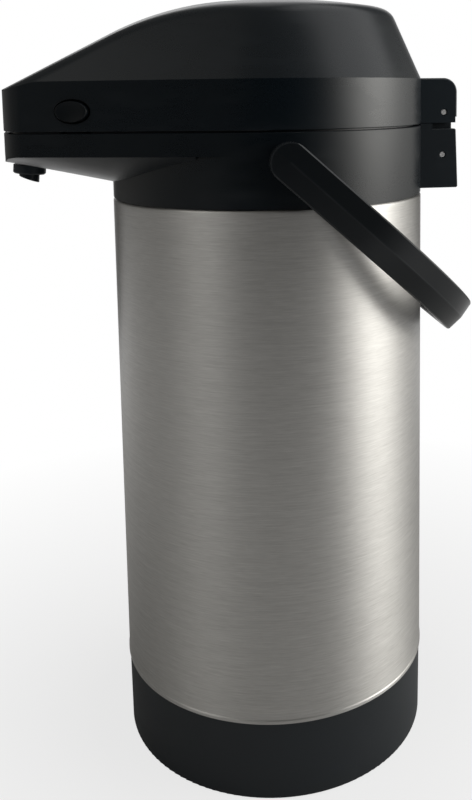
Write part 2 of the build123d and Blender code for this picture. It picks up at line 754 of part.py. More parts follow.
def make_lid_liner():
    plate = plan_block(wall + move_gap, liner_z, liner_z + plastic_t)
    cup = cyl(cup_r, cup_floor_z, liner_z + 1) - cyl(cup_bore_r, cup_floor_z + 2, liner_z + 4)
    body = plate - cyl(cup_bore_r, liner_z - 1, liner_z + 4) + cup
    body = body - cyl(valve_stem_r + move_gap, cup_floor_z - 1, cup_floor_z + 3)
    vent = cyl(1.3, cup_floor_z - 1, cup_floor_z + 3, valve_r - 2.9, 0)
    for k in range(6):
        body = body - Rot(0, 0, 60 * k) * vent
    for x, y in pillar_spots:
        body = body - both_sides(cyl(screw_r + fit_gap, liner_z - 1, liner_z + 4, x, y))
        body = body - both_sides(cyl(screw_head_r + move_gap, liner_z - 1, liner_head_z, x, y))
    slot = latch_slot(latch_long + 6.6, leg_t + latch_travel + 3.8, latch_z - liner_z, 12.0)
    return body - both_sides(slot)


save(make_lid_liner(), "lid_liner")

# Liner screws, driven from below into the pillars.
liner_screw = Rot(180, 0, 0) * pan_screw(screw_head_r, screw_head_t, screw_r - 0.1, liner_screw_l)
save(both_sides(join([Pos(x, y, liner_head_z) * liner_screw for x, y in pillar_spots])), "liner_screws")

# Lid gasket: soft ring under the cup, closes the mouth ring.
seal_top_z = cup_floor_z - seat_gap
seal_foot_z = ring_top_z + move_gap
seal_in_r = mouth_r + 2.5
seal_out_r = seal_in_r + 8.0
seal_outline = [
    (seal_in_r, seal_top_z), (seal_out_r, seal_top_z), (seal_out_r, seal_foot_z + 1.2),
    (seal_out_r - 2.5, seal_foot_z), (seal_in_r + 2.5, seal_foot_z), (seal_in_r, seal_foot_z + 1.2),
]
save(turned(seal_outline), "lid_gasket")

# Air valve: soft flap below the cup floor, held by its stem.
valve_outline = [
    (0, cup_floor_z - 1.4), (valve_r, cup_floor_z - 1.1), (valve_r, cup_floor_z - 0.5), (2.6, seal_top_z),
    (valve_stem_r, seal_top_z), (valve_stem_r, cup_floor_z + 2.2), (valve_stem_r + 1, cup_floor_z + 2.5),
    (valve_stem_r + 0.1, cup_floor_z + 4.0), (0, cup_floor_z + 4.0),
]
save(turned(valve_outline), "air_valve")


# Bellows: folded air pump between the cup floor and its cap.
def make_bellows():
    low = bellows_foot_z + 1.4
    neck = bellows_top_z - 1.6
    pitch = (neck - low) / bellows_folds
    skin = bellows_skin
    outside = [(bellows_r + 3.0, bellows_foot_z), (bellows_r + 3.0, low)]
    inside = [(bellows_root_r - 3.0, bellows_foot_z), (bellows_root_r - 3.0, low)]
    for k in range(bellows_folds):
        root_z = low + pitch * k + 0.3
        crest_z = low + pitch * (k + 0.5)
        outside += [(bellows_root_r, root_z), (bellows_r, crest_z)]
        inside += [(bellows_root_r - skin, root_z), (bellows_r - skin * 1.3, crest_z)]
    rim_r = bellows_root_r + 2.5
    outside += [(bellows_root_r, neck), (rim_r, neck + 0.2), (rim_r, bellows_top_z)]
    inside += [(bellows_root_r - skin, neck + 0.2), (bellows_root_r - skin, bellows_top_z)]
    return turned(outside + inside[::-1])


save(make_bellows(), "bellows")


# Return spring: coil inside the bellows, made of half turns that each climb half a pitch.
def make_spring():
    foot = bellows_foot_z + seat_gap + spring_wire_r
    top = bellows_top_z - 2.7 - spring_wire_r - 0.4
    rise = (top - foot) / (2 * spring_turns)
    path = None
    for k in range(2 * spring_turns):
        side = 1 if k % 2 == 0 else -1
        low = foot + rise * k
        half_turn = ThreePointArc((side * spring_r, 0, low), (0, side * spring_r, low + rise / 2),
                                  (-side * spring_r, 0, low + rise))
        path = half_turn if path is None else path + half_turn
    print("least gap between turns", round(2 * rise - 2 * spring_wire_r, 2))
    start = Plane(origin=path @ 0, z_dir=path % 0)
    return sweep(start * Circle(spring_wire_r), path=path)


save(make_spring(), "return_spring")

# Bellows cap: stiff disc that the button presses on, with a boss that centres the spring.
cap_r = bellows_root_r + 3.0
cap = cyl(cap_r, bellows_top_z + seat_gap, bellows_top_z + plastic_t)
cap = cap + cyl(spring_r - 2.0, bellows_top_z - 3.0, bellows_top_z + 1.0)
save(cap, "bellows_cap")


# Push button: flush round crown piece with a guided skirt and a thrust stem.
lock_pocket_half = (lock_plate + lock_travel) / 2 + 1.4
lock_start_x = 0.4 - lock_pocket_half
lock_slot_half = (lock_travel + lock_stem) / 2 + 0.6
lock_slot_depth = 12.0


def make_push_button():
    skirt_r = button_r - 2.4
    body = cyl(button_r, guide_foot_z - 4, crown_z + 5) & outer_form
    body = body - cyl(skirt_r, guide_foot_z - 5, crown_z - 7.0)
    body = body + ring(skirt_r, button_r + 2.2, guide_foot_z - 4.2, guide_foot_z - 1.8)
    stem = cyl(spring_r, bellows_top_z + plastic_t + seat_gap, crown_z - 5)
    body = body + (stem - cyl(spring_r - 2.4, bellows_top_z + 4.5, crown_z - 6.5))
    half_w = lock_width / 2 + 0.4
    pocket = block(
        -lock_pocket_half, lock_pocket_half, lock_y - half_w, lock_y + half_w, lock_top_z - 2.5, crown_z + 5
    )
    pocket = fillet(pocket.edges().filter_by(Axis.Z), half_w - 0.7)
    slot_foot = crown_z - lock_slot_depth
    slot = block(-lock_slot_half, lock_slot_half, lock_y - 2.2, lock_y + 2.2, slot_foot, crown_z)
    return body - pocket - slot


save(make_push_button(), "push_button")


# Lock slider: thumb slide in the button's pocket, clipped through a slot.
def make_lock_slider():
    x0 = lock_start_x
    half_w = lock_width / 2
    plate_top = lock_top_z - 0.3
    plate = block(x0, x0 + lock_plate, lock_y - half_w, lock_y + half_w, lock_top_z - 2.2, plate_top)
    plate = fillet(plate.edges().filter_by(Axis.Z), half_w - 0.7)
    for k in range(3):
        rib_x = x0 + lock_plate / 2 - 2.2 + 2.0 * k
        plate = plate + block(rib_x, rib_x + 0.8, lock_y - 3, lock_y + 3, plate_top - 0.1, plate_top + 0.6)
    stem_x = move_gap - lock_slot_half
    stem_foot = crown_z - 9.2
    stem = block(stem_x, stem_x + lock_stem, lock_y - 1.9, lock_y + 1.9, stem_foot, lock_top_z - 2.0)
    clip_x = (stem_x - 0.7, stem_x + lock_stem + 0.7)
    clip = block(*clip_x, lock_y - 3.6, lock_y + 3.6, stem_foot - 0.2, stem_foot + 1.8)
    return plate + stem + clip


save(make_lock_slider(), "lock_slider")


# Latch buttons: dished oval buttons whose hooks reach down through liner and deck.
def make_latch():
    outer = extrude(Ellipse(latch_long / 2, latch_high / 2), amount=latch_proud + wall + 0.5)
    outer = Pos(0, 0, -wall - 0.5) * outer
    outer = fillet(outer.edges().sort_by(Axis.Z)[-1], 1.0)
    outer = outer - Pos(0, 0, latch_proud + 29.2) * Sphere(30.0)
    flange = Pos(0, 0, -wall - 1.4) * Box(latch_long + 5.2, latch_high + 2.8, 2.0)
    leg_top = 3.0
    leg = Pos(0, -(hook_foot - leg_top) / 2 - leg_top, -leg_in) * Box(leg_w, hook_foot - leg_top, leg_t)
    hook = Pos(0, 0.8 - hook_foot, -leg_in + 0.4) * Box(leg_w, 1.6, leg_t + 0.6)
    return latch_plane * (outer + flange + leg + hook)


latch = make_latch()
save(latch, "latch_left")
save(mirror(latch, Plane.YZ), "latch_right")


# Carry handle: flat gabled band bent into a bail, drawn in its own plane and then laid back.
arm_inner_x = boss_face_x + move_gap
arm_mid_x = arm_inner_x + handle_t / 2


def make_handle():
    half = handle_band / 2
    t = handle_t / 2
    straight = handle_reach - t - arm_mid_x
    section = [
        (-t, -half + 0.8), (-t + 0.8, -half), (t - 1.6, -half), (t - 0.9, -half + 0.7),
        (t, 0), (t - 0.9, half - 0.7), (t - 1.6, half), (-t + 0.8, half), (-t, half - 0.8),
    ]
    face = make_face(Polyline([(arm_mid_x + n, p) for n, p in section], close=True))
    arm = extrude(Plane.XZ * face, amount=-straight)
    head = extrude(Plane.XZ * face, amount=half)
    far_x = arm_mid_x + 20
    near_x = arm_inner_x - 20
    limit = cross_rod(half, near_x, far_x, 0, 0) + block(near_x, far_x, 0, half, -half, half)
    arm = arm + (head & limit)
    bow = Pos(0, straight, 0) * revolve(Plane.XZ * face, Axis.Z, 180)
    stub = cross_rod(stub_r, stub_end_x, arm_inner_x + 0.5, 0, 0)
    stub = stub - cross_rod(screw_r - 0.15, stub_end_x - 5, stub_end_x + pivot_screw_l - 0.5, 0, 0)
    arm = arm - stop_groove() + stub
    return Pos(0, 0, pivot_z) * Rot(-handle_drop, 0, 0) * (both_sides(arm) + bow)


def stop_groove():
    """Arc groove in the arm's inner face that runs over the collar's stop peg."""
    room = stop_peg_r + 0.4
    track = cross_rod(stop_r + room, arm_inner_x - 1, arm_inner_x + 1.5, 0, 0)
    track = track - cross_rod(stop_r - room, arm_inner_x - 2, arm_inner_x + 3, 0, 0)
    first = handle_drop - 90.0 + 14.0
    turn = handle_swing + 28.0

    def rim(angle):
        return (20 * math.cos(math.radians(angle)), 20 * math.sin(math.radians(angle)))

    wedge = make_face([
        Line((0, 0), rim(first)),
        ThreePointArc(rim(first), rim(first - turn / 2), rim(first - turn)),
        Line(rim(first - turn), (0, 0)),
    ])
    return track & (Pos(arm_inner_x - 5, 0, 0) * extrude(Plane.YZ * wedge, amount=20))


stub_end_x = barrel_bore_r - 3.8
save(make_handle(), "carry_handle")

# Washers and screws that keep the handle's stubs in the collar.
washer = cross_rod(stub_r + 2.4, stub_end_x - 2.3, stub_end_x - seat_gap, 0, pivot_z)
washer = washer - cross_rod(screw_r + fit_gap, stub_end_x - 5, stub_end_x + 5, 0, pivot_z)
save(both_sides(washer), "pivot_washers")
pivot_screw = Rot(0, -90, 0) * pan_screw(screw_head_r, screw_head_t, screw_r - 0.2, pivot_screw_l)
save(both_sides(Pos(stub_end_x - 2.3 - run_gap, 0, pivot_z) * pivot_screw), "pivot_screws")
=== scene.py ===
import bmesh
import bpy
import json
import math
from mathutils import Matrix, Vector

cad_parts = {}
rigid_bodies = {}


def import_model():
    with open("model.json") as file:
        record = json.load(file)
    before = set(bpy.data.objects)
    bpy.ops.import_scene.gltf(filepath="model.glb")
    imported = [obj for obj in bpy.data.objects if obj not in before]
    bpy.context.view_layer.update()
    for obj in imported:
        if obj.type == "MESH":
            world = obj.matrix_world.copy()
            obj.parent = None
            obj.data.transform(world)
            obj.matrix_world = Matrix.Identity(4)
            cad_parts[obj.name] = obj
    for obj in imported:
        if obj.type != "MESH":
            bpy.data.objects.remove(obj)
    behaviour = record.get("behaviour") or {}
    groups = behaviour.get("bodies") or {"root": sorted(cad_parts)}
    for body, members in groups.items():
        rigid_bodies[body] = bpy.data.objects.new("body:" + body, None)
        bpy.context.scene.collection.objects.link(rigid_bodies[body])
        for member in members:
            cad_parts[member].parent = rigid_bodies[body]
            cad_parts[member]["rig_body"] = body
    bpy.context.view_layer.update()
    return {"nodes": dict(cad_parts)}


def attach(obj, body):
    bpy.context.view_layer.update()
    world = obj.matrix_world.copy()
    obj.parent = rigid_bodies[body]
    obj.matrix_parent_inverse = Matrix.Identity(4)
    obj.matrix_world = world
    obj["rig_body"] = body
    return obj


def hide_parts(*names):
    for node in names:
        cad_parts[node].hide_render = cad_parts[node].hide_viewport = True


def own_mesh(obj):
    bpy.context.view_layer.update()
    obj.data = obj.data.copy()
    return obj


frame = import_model()

# Base cap.
# The round foot of the pot, moulded in black plastic from a finely grained mould.
# Its wall leans in a little towards the bottom, and its rim plugs into the steel sleeve.


class Wire:
    """A value on its way through a node tree. Sums and products of wires lay Math nodes."""

    def __init__(self, sketch, socket):
        self.sketch = sketch
        self.socket = socket

    def __neg__(self):
        return self.sketch.maths("SUBTRACT", 0.0, self)

    def __add__(self, other):
        return self.sketch.maths("ADD", self, other)

    def __radd__(self, other):
        return self.sketch.maths("ADD", other, self)

    def __sub__(self, other):
        return self.sketch.maths("SUBTRACT", self, other)

    def __rsub__(self, other):
        return self.sketch.maths("SUBTRACT", other, self)

    def __mul__(self, other):
        return self.sketch.maths("MULTIPLY", self, other)

    def __rmul__(self, other):
        return self.sketch.maths("MULTIPLY", other, self)

    def __truediv__(self, other):
        return self.sketch.maths("DIVIDE", self, other)

    def __rtruediv__(self, other):
        return self.sketch.maths("DIVIDE", other, self)


class Sketch:
    """A node tree while it is being laid, for a material, a shape or the surround."""

    def node(self, kind, settings=None, sockets=None, output=0):
        """Adds a node with its settings first, then the values or links of its sockets.

        The setting "choices" is the number of items that an Index Switch offers, and a list of
        wires goes into one socket together.
        """
        made = self.tree.nodes.new(kind)
        for name, value in (settings or {}).items():
            if name == "choices":
                for _ in range(value - 2):
                    made.index_switch_items.new()
            else:
                setattr(made, name, value)
        for name, value in (sockets or {}).items():
            for one in value if isinstance(value, list) else [value]:
                if isinstance(one, Wire):
                    self.tree.links.new(one.socket, made.inputs[name])
                else:
                    made.inputs[name].default_value = one
        return Wire(self, made.outputs[output])

    def maths(self, operation, *values):
        return self.node("ShaderNodeMath", {"operation": operation}, dict(enumerate(values)))

    def between(self, mask, low, high):
        """A mask's share from low to high, spread over nought to one."""
        sockets = {"Value": mask, "From Min": low, "From Max": high}
        return self.node("ShaderNodeMapRange", None, sockets)

    def dot(self, vector, direction):
        """A vector's reach along a fixed direction."""
        sockets = {0: vector, 1: tuple(direction)}
        return self.node("ShaderNodeVectorMath", {"operation": "DOT_PRODUCT"}, sockets, output="Value")

    def ends_in(self, kind, surface):
        """Joins the last shader to the tree's output."""
        end = self.tree.nodes.new(kind)
        self.tree.links.new(surface.socket, end.inputs["Surface"])


class Finish(Sketch):
    """A material while it is being made, with the object's own coordinates to hand."""

    def __init__(self, name):
        self.material = bpy.data.materials.new(name)
        self.material.use_nodes = True
        self.tree = self.material.node_tree
        self.tree.nodes.clear()
        self.place = self.node("ShaderNodeTexCoord", output="Object")

    def stretched(self, scale, shift=(0.0, 0.0, 0.0)):
        """Object coordinates with their own scale along each axis."""
        sockets = {"Vector": self.place, "Scale": scale, "Location": shift}
        return self.node("ShaderNodeMapping", None, sockets)

    def noise(self, where, scale=1.0, detail=2.0, roughness=0.5):
        sockets = {"Vector": where, "Scale": scale, "Detail": detail, "Roughness": roughness}
        return self.node("ShaderNodeTexNoise", None, sockets)

    def tint(self, mask, first, second):
        """Colour that goes from the first to the second with the mask."""
        colours = {0: mask, 6: first, 7: second}
        return self.node("ShaderNodeMix", {"data_type": "RGBA"}, colours, output=2)

    def bump(self, height, depth, strength=1.0):
        sockets = {"Height": height, "Distance": depth, "Strength": strength}
        return self.node("ShaderNodeBump", None, sockets)

    def done(self, **sockets):
        """Closes the material with one surface shader, whose sockets are named with underscores."""
        named = {name.replace("_", " "): value for name, value in sockets.items()}
        return self.closed(self.node("ShaderNodeBsdfPrincipled", None, named))

    def closed(self, surface):
        self.ends_in("ShaderNodeOutputMaterial", surface)
        return self.material


def grey(level, blue=1.0):
    """A grey of one level, whose blue is that many times its red."""
    return (level, level * (1 + blue) / 2, level * blue, 1.0)


def moulded_plastic(name, tone, roughness, grain, shift, gloss=0.5):
    """Black plastic from a grained mould: fine pits, slow sink waves and faint wiping marks."""
    skin = Finish(name)
    here = skin.stretched((1.0, 1.0, 1.0), (shift, shift * 0.7, shift * 0.3))
    pits = skin.noise(here, 2400.0, 3.0, 0.6)
    waves = skin.noise(here, 26.0, 1.0)
    along_the_wall = skin.stretched((22.0, 22.0, 90.0), (shift, 0.0, 0.0))
    marks = skin.between(skin.noise(along_the_wall, detail=4.0, roughness=0.65), 0.52, 0.74)
    return skin.done(
        Base_Color=skin.tint(marks * 0.5 + pits * 0.3, grey(tone * 0.9, 3.8), grey(tone * 1.6, 3.0)),
        Roughness=roughness + (waves - 0.5) * 0.10 + marks * 0.07 + (pits - 0.5) * 0.08,
        Specular_IOR_Level=gloss,
        Normal=skin.bump(pits * (0.16 * grain) + waves * 1.4, 0.00022, 0.5),
    )


# Corners of a mesh that are closer than this, in metres, are one.
MERGE = 1e-6


def shaded(mesh, crease, turn_out=False):
    """Joins loose corners and shades a mesh smooth up to a crease angle in degrees."""
    sheet = bmesh.new()
    sheet.from_mesh(mesh)
    bmesh.ops.remove_doubles(sheet, verts=sheet.verts, dist=MERGE)
    if turn_out:
        bmesh.ops.recalc_face_normals(sheet, faces=sheet.faces)
    for edge in sheet.edges:
        edge.smooth = len(edge.link_faces) == 2 and edge.calc_face_angle(0.0) < math.radians(crease)
    for face in sheet.faces:
        face.smooth = True
    sheet.to_mesh(mesh)
    sheet.free()
    if "custom_normal" in mesh.attributes:
        mesh.attributes.remove(mesh.attributes["custom_normal"])


def fitted(mesh, node):
    """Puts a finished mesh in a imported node's place, on the body that carries it."""
    piece = bpy.data.objects.new(node + "_skin", mesh)
    bpy.context.scene.collection.objects.link(piece)
    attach(piece, frame["nodes"][node]["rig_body"])
    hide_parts(node)
    return piece


def dressed(node, material, crease=32.0):
    """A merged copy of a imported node's mesh that shades as one skin, with its finish."""
    mesh = frame["nodes"][node].data.copy()
    shaded(mesh, crease)
    mesh.materials.clear()
    mesh.materials.append(material)
    return fitted(mesh, node)


base_black = moulded_plastic("base_black", tone=0.003, roughness=0.44, grain=0.9, shift=0.3)
dressed("base_cap", base_black)

# Foot ring.
# A black rubber band pressed into the groove under the base, on which the pot stands.
# It keeps the dull skin of its mould and picks up dust.


def rubber(name, tone, shift):
    skin = Finish(name)
    speck = skin.noise(skin.place, 900.0, 4.0, 0.7)
    clouds = skin.noise(skin.stretched((60.0, 60.0, 60.0), (shift, 0.0, 0.0)), detail=3.0)
    dust = skin.between(clouds, 0.5, 0.8)
    return skin.done(
        Base_Color=skin.tint(dust * 0.4 + speck * 0.2, grey(tone), grey(tone * 3.2, 0.92)),
        Roughness=0.74 + (speck - 0.5) * 0.2,
        Normal=skin.bump(speck, 0.0001, 0.4),
    )


dressed("foot_ring", rubber("foot_rubber", tone=0.02, shift=0.1))

# Flask cushion.
# A soft rubber ring that lies in the base and carries the rounded bottom of the glass.
# It is moulded in one piece, with an open middle that leaves room for the pip.
dressed("flask_cushion", rubber("cushion_rubber", tone=0.026, shift=0.6))

# Glass flask.
# Two walls of glass with a vacuum between them, silvered on the vacuum side.
# It is blown in one piece, closed at a pip under the bottom, and held between two soft rings.


def silvered_glass(name):
    skin = Finish(name)
    ripple = skin.noise(skin.stretched((18.0, 18.0, 9.0)))
    cloud = skin.noise(skin.place, 55.0, 3.0)
    return skin.done(
        Base_Color=skin.tint(cloud, (0.80, 0.82, 0.84, 1.0), (0.90, 0.91, 0.92, 1.0)),
        Metallic=1.0,
        Roughness=0.05 + cloud * 0.05,
        Coat_Weight=1.0,
        Coat_Roughness=0.03,
        Normal=skin.bump(ripple, 0.0006, 0.35),
    )


dressed("glass_flask", silvered_glass("silvered_glass"))

# Body shell.
# A sleeve rolled from thin stainless sheet and brushed round and round.
# Its foot is hemmed over the base cap and its top is rolled in under the collar.


def brushed_steel(name):
    """Stainless steel with fine level brush lines, a few deeper ones, and faint handling marks."""
    skin = Finish(name)
    fine = skin.noise(skin.stretched((130.0, 130.0, 2600.0)), detail=3.0, roughness=0.65)
    deeper = skin.stretched((50.0, 50.0, 1400.0), (0.4, 0.2, 0.0))
    lines = skin.noise(deeper, detail=3.0, roughness=0.6)
    broad = skin.noise(skin.stretched((3.0, 3.0, 150.0), (0.9, 0.1, 0.0)))
    hands = skin.between(skin.noise(skin.stretched((14.0, 14.0, 9.0)), detail=3.0), 0.5, 0.8)
    shade = skin.between(lines * 0.4 + fine * 0.5 + broad * 0.1, 0.32, 0.68)
    return skin.done(
        Base_Color=skin.tint(shade, (0.50, 0.49, 0.475, 1.0), (0.68, 0.67, 0.65, 1.0)),
        Metallic=1.0,
        Roughness=0.43 + (lines - 0.5) * 0.12 + hands * 0.03,
        Anisotropic=0.8,
        Anisotropic_Rotation=0.25,
        Normal=skin.bump(fine * 0.4 + lines * 0.6, 0.00001, 0.25),
    )


# An outline is swept round a hoop of this radius, and drawn from the hoop's own line.
HOOP = 0.05
# Corners of a swept skin that are closer than this are one.
LOOSE = 5e-6


class Pattern(Sketch):
    """A shape tree with named sizes in metres, run once for each piece that follows its rule."""

    def __init__(self, name, sizes, counts=()):
        self.tree = bpy.data.node_groups.new(name, "GeometryNodeTree")
        face = self.tree.interface
        face.new_socket("Places", in_out="INPUT", socket_type="NodeSocketGeometry")
        for label in sizes:
            face.new_socket(label, in_out="INPUT", socket_type="NodeSocketFloat")
        for label in counts:
            face.new_socket(label, in_out="INPUT", socket_type="NodeSocketInt")
        face.new_socket("Finish", in_out="INPUT", socket_type="NodeSocketMaterial")
        face.new_socket("Shape", in_out="OUTPUT", socket_type="NodeSocketGeometry")
        self.entry = self.tree.nodes.new("NodeGroupInput")

    def given(self, label):
        return Wire(self, self.entry.outputs[label])

    def vector(self, x, y, z):
        return self.node("ShaderNodeCombineXYZ", None, {0: x, 1: y, 2: z})

    def pick(self, kind, values):
        """One of several values, by the number of the point."""
        sockets = {"Index": self.node("GeometryNodeInputIndex")}
        sockets.update((str(number), value) for number, value in enumerate(values))
        settings = {"data_type": kind, "choices": len(values)}
        return self.node("GeometryNodeIndexSwitch", settings, sockets)

    def spot(self, radius, height):
        """A point of an outline, as the sweep round the hoop wants it."""
        return self.vector(radius - HOOP, -height, 0.0)

    def strung(self, count, spots, closed=True):
        """A line through so many points at the given spots, closed on itself or open."""
        string = self.node("GeometryNodeMeshLine", None, {"Count": count})
        sockets = {"Geometry": string, "Position": spots}
        string = self.node("GeometryNodeSetPosition", None, sockets)
        line = self.node("GeometryNodeMeshToCurve", None, {"Mesh": string})
        return self.node("GeometryNodeSetSplineCyclic", None, {"Geometry": line, "Cyclic": closed})

    def outline(self, corners, closed=True):
        """A line through corners, each with its radius, its height and the ease that rounds it."""
        spots = self.pick("VECTOR", [self.spot(radius, height) for radius, height, ease in corners])
        line = self.strung(len(corners), spots, closed)
        eases = self.pick("FLOAT", [ease for radius, height, ease in corners])
        sockets = {"Curve": line, "Count": 4, "Radius": eases, "Limit Radius": True}
        return self.node("GeometryNodeFilletCurve", {"mode": "POLY"}, sockets)

    def swept(self, line, profile, capped=False):
        sockets = {"Curve": line, "Profile Curve": profile, "Fill Caps": capped}
        return self.node("GeometryNodeCurveToMesh", None, sockets)

    def spun(self, line, around):
        """A line swept round the upright axis."""
        sockets = {"Resolution": around, "Radius": HOOP}
        hoop = self.node("GeometryNodeCurvePrimitiveCircle", None, sockets)
        skin = self.swept(hoop, line)
        return self.node("GeometryNodeMergeByDistance", None, {"Geometry": skin, "Distance": LOOSE})

    def lifted(self, shape, height):
        sockets = {"Geometry": shape, "Translation": self.vector(0.0, 0.0, height)}
        return self.node("GeometryNodeTransform", None, sockets)

    def close(self, shape):
        real = self.node("GeometryNodeRealizeInstances", None, {"Geometry": shape})
        sockets = {"Geometry": real, "Material": self.given("Finish")}
        coloured = self.node("GeometryNodeSetMaterial", None, sockets)
        end = self.tree.nodes.new("NodeGroupOutput")
        self.tree.links.new(coloured.socket, end.inputs["Shape"])

    def grow(self, node, material, slot, sizes, places=()):
        """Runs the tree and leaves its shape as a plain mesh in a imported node's place.

        Each of the places is a point and the way that a copy of the shape points there.
        """
        seeds = bpy.data.meshes.new(node + "_places")
        seeds.from_pydata([place for place, aim in places], [], [])
        aims = seeds.attributes.new("aim", "FLOAT_VECTOR", "POINT")
        aims.data.foreach_set("vector", [float(share) for place, aim in places for share in aim])
        carrier = bpy.data.objects.new(node + "_carrier", seeds)
        bpy.context.scene.collection.objects.link(carrier)
        growth = carrier.modifiers.new("growth", "NODES")
        growth.node_group = self.tree
        keys = {item.name: item.identifier for item in self.tree.interface.items_tree}
        for label, value in {**sizes, "Finish": material}.items():
            growth[keys[label]] = value
        graph = bpy.context.evaluated_depsgraph_get()
        mesh = bpy.data.meshes.new_from_object(carrier.evaluated_get(graph))
        bpy.data.objects.remove(carrier)
        shaded(mesh, crease=32.0, turn_out=True)
        return fitted(mesh, node)


sleeve = Pattern(
    "rolled_sleeve",
    ("Foot", "Top", "Radius", "Sheet", "Hem", "Hem height", "Mouth radius"),
    ("Around",),
)
foot, top = sleeve.given("Foot"), sleeve.given("Top")
radius, sheet, mouth = sleeve.given("Radius"), sleeve.given("Sheet"), sleeve.given("Mouth radius")
bore = radius - sheet
hem = radius + sleeve.given("Hem")
hem_top = foot + sleeve.given("Hem height")
section = [
    (bore, foot, 5e-5),
    (hem, foot, 2.5e-4),
    (hem, hem_top, 2.5e-4),
    (radius, hem_top + sheet * 0.75, 2e-4),
    (radius, hem_top + sheet * 2.0, 0.0),
    (radius, top - sheet * 3.0, 0.0),
    (radius, top, 1.2e-3),
    (mouth, top, 1e-4),
    (mouth, top - sheet, 1e-4),
    (bore, top - sheet, 2e-4),
]
sleeve.close(sleeve.spun(sleeve.outline(section), sleeve.given("Around")))
sleeve.grow("body_shell", brushed_steel("brushed_sleeve"), "brushed_steel", {
    "Foot": 0.0403,
    "Top": 0.2914,
    "Radius": 0.082,
    "Sheet": 0.0008,
    "Hem": 0.0003,
    "Hem height": 0.0016,
    "Mouth radius": 0.0796,
    "Around": 256,
})

# Neck gasket.
# A soft silicone ring that seats on the mouth of the glass, with a lip that hangs round it.
# It is moulded in one piece and held down by the mouth ring.


def silicone(name, shade, shift):
    skin = Finish(name)
    cloud = skin.noise(skin.stretched((40.0, 40.0, 40.0), (shift, 0.0, 0.0)), detail=3.0)
    milky = (shade, shade, shade * 0.97, 1.0)
    paler = (shade * 1.2, shade * 1.2, shade * 1.16, 1.0)
    return skin.done(
        Base_Color=skin.tint(cloud, milky, paler),
        Roughness=0.48 + (cloud - 0.5) * 0.1,
        Subsurface_Weight=0.15,
        Normal=skin.bump(cloud, 0.0002, 0.3),
    )


dressed("neck_gasket", silicone("gasket_silicone", shade=0.5, shift=0.2))

# Mouth ring.
# A dark plastic moulding that sits on the gasket and closes the neck of the flask.
# It holds the dip tube and hands the drink over to the discharge tube.


def inner_plastic(name, tone, shift):
    skin = Finish(name)
    here = skin.stretched((1.0, 1.0, 1.0), (shift, 0.0, shift))
    flow = skin.noise(here, 70.0, 3.0, 0.6)
    fleck = skin.noise(here, 1800.0)
    return skin.done(
        Base_Color=skin.tint(flow, grey(tone, 1.04), grey(tone * 1.35, 1.02)),
        Roughness=0.38 + (flow - 0.5) * 0.12,
        Normal=skin.bump(flow + fleck * 0.1, 0.00015, 0.4),
    )


dressed("mouth_ring", inner_plastic("mouth_grey", tone=0.05, shift=0.3))

# Dip tube and its seal.
# A drawn plastic tube that hangs from the mouth ring almost to the bottom of the flask.
# A soft silicone sleeve grips its top end.
dressed("dip_tube", inner_plastic("dip_tube_grey", tone=0.16, shift=0.8))
dressed("tube_seal", silicone("seal_silicone", shade=0.42, shift=0.5))

# Discharge tube.
# A bent plastic tube that rises from the mouth ring through the nose.
# It turns down at the front end and opens in the nozzle.
dressed("discharge_tube", inner_plastic("discharge_grey", tone=0.16, shift=0.1))

# Collar.
# The shoulder of the pot, one black moulding with the deck and the lower half of the nose.
# Its skirt plugs into the top of the steel sleeve, and two bosses on its sides hold the handle.
collar_black = moulded_plastic("collar_black", tone=0.0025, roughness=0.29, grain=0.5, shift=1.4)
dressed("collar", collar_black)

# Spout cover and its screws.
# The boat-shaped underside of the nose, a thin black moulding with two posts inside.
# Two steel screws with rolled threads are driven down through the deck into the posts.


def turned_steel(name, shift, roughness=0.22):
    skin = Finish(name)
    grains = skin.stretched((900.0, 900.0, 900.0), (shift, 0.0, 0.0))
    rings = skin.noise(grains, detail=3.0, roughness=0.7)
    return skin.done(
        Base_Color=skin.tint(rings, (0.62, 0.62, 0.63, 1.0), (0.80, 0.80, 0.81, 1.0)),
        Metallic=1.0,
        Roughness=roughness + rings * 0.16,
        Normal=skin.bump(rings, 0.00004, 0.4),
    )


hull_black = moulded_plastic("hull_black", tone=0.003, roughness=0.36, grain=0.5, shift=2.1)
dressed("spout_cover", hull_black)

screw = Pattern(
    "pan_screw",
    ("Head radius", "Head height", "Shank radius", "Length", "Pitch", "Recess width"),
)
head_r, head_t = screw.given("Head radius"), screw.given("Head height")
shank_r, length = screw.given("Shank radius"), screw.given("Length")
pitch, recess = screw.given("Pitch"), screw.given("Recess width")
dome = [
    (0.0, 0.0, 0.0),
    (head_r, 0.0, 1e-4),
    (head_r, head_t * 0.55, 6e-4),
    (head_r * 0.6, head_t, 8e-4),
    (0.0, head_t, 0.0),
]
head = screw.spun(screw.outline(dome, closed=False), 32)
blades = []
for wide, deep in ((head_r * 1.2, recess), (recess, head_r * 1.2)):
    blade = screw.node("GeometryNodeMeshCube", None, {"Size": screw.vector(wide, deep, head_t)})
    blades.append(screw.lifted(blade, head_t))
cut = {"operation": "DIFFERENCE", "solver": "EXACT"}
head = screw.node("GeometryNodeMeshBoolean", cut, {0: head, 1: blades})
core = shank_r * 0.82
stem = [
    (0.0, -length, 0.0),
    (core * 0.5, -length, 1e-4),
    (core, shank_r - length, 2e-4),
    (core, 0.0, 0.0),
    (0.0, 0.0, 0.0),
]
shank = screw.spun(screw.outline(stem, closed=False), 24)
climb = length - shank_r * 1.6
winding = screw.node("GeometryNodeCurveSpiral", None, {
    "Resolution": 20,
    "Rotations": climb / pitch,
    "Start Radius": core,
    "End Radius": core,
    "Height": climb,
})
winding = screw.lifted(winding, shank_r * 1.1 - length)
crest = {"Resolution": 3, "Radius": shank_r - core}
thread = screw.swept(winding, screw.node("GeometryNodeCurvePrimitiveCircle", None, crest), capped=True)
